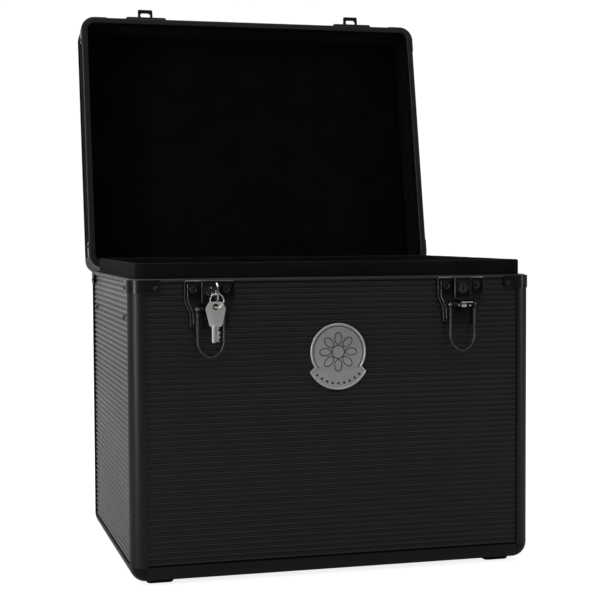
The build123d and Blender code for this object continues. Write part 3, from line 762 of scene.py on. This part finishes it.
# ---- badge ----
BADGE_R = 27.6
RIBBON_DROP, RIBBON_R = 4.77, 31.6    # centre of the ribbon's edge below the disc's, its radius
RING_R, STUD_R = 24.6, 30.2
PETALS, PETAL_MID, PETAL_LONG, PETAL_WIDE = 8, 12.9, 5.6, 3.5
FIELD_SINK = 0.6                      # the field and its dark lines lie this far below the face


def arc_angles(limit, steps):
    """Angles from -limit to limit."""
    return [-limit + 2 * limit * k / steps for k in range(steps + 1)]


def badge():
    """Disc with a curved ribbon below it: satin field, polished rim, dark rosette and studs."""
    lo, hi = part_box("badge_plate")
    face = -(lo.y - CY) / MM + FRONT          # how far the badge stands out from the front face
    back = -(hi.y - CY) / MM + FRONT
    cz = hi.z / MM - BADGE_R
    cut = math.atan2(23.6, -14.3)             # where the ribbon leaves the disc, from the top
    end = math.atan2(28.3, 18.9 - RIBBON_DROP)
    ring = [(BADGE_R * math.sin(a), BADGE_R * math.cos(a)) for a in arc_angles(cut, 80)]
    ring += [(RIBBON_R * math.sin(a), -RIBBON_DROP - RIBBON_R * math.cos(a))
             for a in (end - 2 * end * k / 44 for k in range(45))]
    outline = [(u, cz + v) for u, v in ring]
    field = Shape()
    field.plate([outline], on_front(0), back, face - FIELD_SINK, 0.3)
    field.done("badge_field", "case", "badge", SATIN, "badge_plate", smooth=30)
    rim_r = 0.95
    edge = Shape()
    inner = inset(wound(outline, True), rim_r)
    edge.tube([(u, FRONT - face + 0.85, v) for u, v in inner], rim_r, 10, closed=True)
    edge.done("badge_raised_rim", "case", "badge", POLISHED)

    def on_face(u, v):
        return u, FRONT - face + FIELD_SINK, cz + v

    def along(r, angles):
        return [on_face(r * math.sin(a), r * math.cos(a)) for a in angles]

    lines = Shape()
    lines.tube(along(RING_R, arc_angles(math.radians(128), 80)), 0.38, 6)
    # rosette of petals round a small circle
    lines.tube(along(6.2, turn(48)), 0.45, 6, closed=True)
    for k in range(PETALS):
        lean = math.radians(360 / PETALS * k)
        petal = []
        for j in range(32):
            s = j / 32 * math.pi * 2
            r, aside = PETAL_MID - PETAL_LONG * math.cos(s), PETAL_WIDE * math.sin(s)
            petal.append(on_face(r * math.sin(lean) + aside * math.cos(lean),
                                 r * math.cos(lean) - aside * math.sin(lean)))
        lines.tube(petal, 0.42, 6, closed=True)
    # row of studs along the ribbon
    for k in range(9):
        a = math.radians(-44 + 11 * k)
        lines.lathe([(0, 0.0), (1.25, 0.0), (1.1, 0.35), (0, 0.5)],
                    on_face(STUD_R * math.sin(a), -STUD_R * math.cos(a)), (0, -1, 0), 16)
    lines.done("badge_dark_lines", "case", "badge", ENAMEL)


badge()


# ---- handle grip ----
WAVES, RINGS = 4, 60          # swells along the grip, and steps of its profile


def grip():
    """Soft grip with shallow swells for the fingers."""
    lo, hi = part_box("handle_grip")
    centre = (lo + hi) / 2
    half = (hi.x - lo.x) / 2 / MM
    r = (hi.y - lo.y) / 2 / MM
    profile = [(0, -half), (r * 0.72, -half), (r * 0.93, -half + 1.6)]
    for k in range(1, RINGS):
        x = -half + 2.4 + (2 * half - 4.8) * k / RINGS
        wave = 0.5 - 0.5 * math.cos(2 * math.pi * WAVES * (x + half) / (2 * half))
        profile.append((r * (0.90 + 0.09 * wave), x))
    profile += [(r * 0.93, half - 1.6), (r * 0.72, half), (0, half)]
    shape = Shape()
    middle = (centre.x / MM, (centre.y - CY) / MM, centre.z / MM)
    shape.lathe(profile, middle, (1, 0, 0), 40)
    shape.done("handle_soft_grip", "handle", "black_plastic", PLASTIC, "handle_grip")


grip()

# ---- finishes of the CAD nodes that stay ----
FINISH = {
    LAMINATE: ("body_bottom_panel",),
    ANODISED: ("body_corner_posts", "body_bottom_edges", "lid_corner_posts", "lid_top_edges",
               "tray_ledge_left", "tray_ledge_right"),
    STEEL: ("body_bottom_corner_caps", "lid_top_corner_caps",
            "hinge_body_leaves", "hinge_lid_leaves", "keeper_left", "keeper_right"),
    NICKEL: ("hinge_pins", "handle_pins"),
    RIVET: ("body_rivets", "lid_rivets"),
    BRACKET: ("body_rim_brackets", "lid_rim_brackets"),
    RUBBER: ("feet",),
    PLASTIC: ("tray", "handle_arms", "handle_mount_left", "handle_mount_right"),
}
for surface, names in FINISH.items():
    for name in names:
        mesh = NODES[name].data
        mesh.materials.clear()
        mesh.materials.append(surface)


# ---- floor, light, camera ----
FLOOR_HALF, FLOOR_GREY, FLOOR_GLOW = 6, 0.50, 0.86
BACKDROP = 1.03               # strength of the surround as the camera sees it
VIEW_AIM = (15.153, 2.815, -0.271)    # degrees to the right, down, and rolled
VIEW_FROM = (-0.3892, CY - 1.4439, 0.3320)
WHITE = (1, 1, 1, 1)


def stage_floor():
    """Pale floor that glows only for the camera, so that it fades into the backdrop."""
    f = FLOOR_HALF
    mesh = bpy.data.meshes.new("floor")
    mesh.from_pydata([(-f, -f, 0), (f, -f, 0), (f, f, 0), (-f, f, 0)], [], [(0, 1, 2, 3)])
    floor = bpy.data.objects.new("floor", mesh)
    bpy.context.scene.collection.objects.link(floor)
    m = bpy.data.materials.new("pale_floor")
    m.use_nodes = True
    tree = m.node_tree
    shader = tree.nodes["Principled BSDF"]
    shader.inputs["Base Color"].default_value = (FLOOR_GREY, FLOOR_GREY, FLOOR_GREY, 1)
    shader.inputs["Roughness"].default_value = 0.9
    shader.inputs["Specular IOR Level"].default_value = 0.0
    shader.inputs["Emission Color"].default_value = WHITE
    path = tree.nodes.new("ShaderNodeLightPath")
    glow = math_node(tree, "MULTIPLY", path.outputs["Is Camera Ray"], FLOOR_GLOW)
    tree.links.new(glow, shader.inputs["Emission Strength"])
    mesh.materials.append(m)


def world_light():
    """Studio surround: bright behind the object, dim in front of it."""
    world = bpy.data.worlds.new("studio")
    bpy.context.scene.world = world
    world.use_nodes = True
    tree = world.node_tree
    sky = tree.nodes["Background"]
    sky.inputs["Color"].default_value = WHITE
    coord = tree.nodes.new("ShaderNodeTexCoord")
    parts = tree.nodes.new("ShaderNodeSeparateXYZ")
    tree.links.new(coord.outputs["Generated"], parts.inputs[0])

    def span(axis, low, high, start, end):
        node = node_of(tree, "ShaderNodeMapRange", From_Min=low, From_Max=high,
                       To_Min=start, To_Max=end)
        node.interpolation_type = "SMOOTHSTEP"
        tree.links.new(parts.outputs[axis], node.inputs["Value"])
        return node.outputs["Result"]

    behind = span("Y", 0.35, 0.98, 0.066, 0.68)
    left = span("X", -1.0, 0.0, 0.03, 0.0)
    top = span("Z", 0.15, 0.8, 0.0, 0.50)
    light = math_node(tree, "ADD", math_node(tree, "ADD", behind, left), top)
    path = tree.nodes.new("ShaderNodeLightPath")
    seen = path.outputs["Is Camera Ray"]
    unseen = math_node(tree, "MULTIPLY", light, math_node(tree, "SUBTRACT", 1.0, seen))
    backdrop = math_node(tree, "MULTIPLY", seen, BACKDROP)
    tree.links.new(math_node(tree, "ADD", unseen, backdrop), sky.inputs["Strength"])


def area_light(name, place, target, size, power):
    """Rectangular lamp at place, turned towards target."""
    data = bpy.data.lights.new(name, "AREA")
    data.shape, data.size, data.size_y, data.energy = "RECTANGLE", size[0], size[1], power
    lamp = bpy.data.objects.new(name, data)
    bpy.context.scene.collection.objects.link(lamp)
    lamp.location = place
    lamp.rotation_mode = "QUATERNION"
    lamp.rotation_quaternion = (Vector(target) - Vector(place)).to_track_quat("-Z", "Y")


def camera():
    """Long lens from the left of the front, a little above the rim."""
    data = bpy.data.cameras.new("camera")
    data.lens, data.sensor_width = 85.27, 36.0
    data.clip_start, data.clip_end = 0.05, 50.0
    cam = bpy.data.objects.new("camera", data)
    bpy.context.scene.collection.objects.link(cam)
    yaw, pitch, roll = (math.radians(a) for a in VIEW_AIM)
    forward = Vector((math.sin(yaw) * math.cos(pitch), math.cos(yaw) * math.cos(pitch),
                      -math.sin(pitch)))
    right = Vector((math.cos(yaw), -math.sin(yaw), 0))
    up = right.cross(forward)
    right, up = (math.cos(roll) * right + math.sin(roll) * up,
                 math.cos(roll) * up - math.sin(roll) * right)
    aim = Matrix((right, up, -forward)).transposed().to_4x4()
    cam.matrix_world = Matrix.Translation(VIEW_FROM) @ aim
    bpy.context.scene.camera = cam


stage_floor()
world_light()
area_light("overhead", (-0.3, 0.3, 2.2), (0, 0, 0.3), (1.6, 1.2), 10)
area_light("strip_left", (-1.60, -0.77, 0.55), (-0.15, -0.15, 0.28), (0.36, 1.6), 15)
area_light("strip_right", (1.70, -0.95, 0.60), (0.15, -0.15, 0.25), (0.30, 1.6), 5)
camera()
bpy.context.scene.view_settings.view_transform = "Standard"
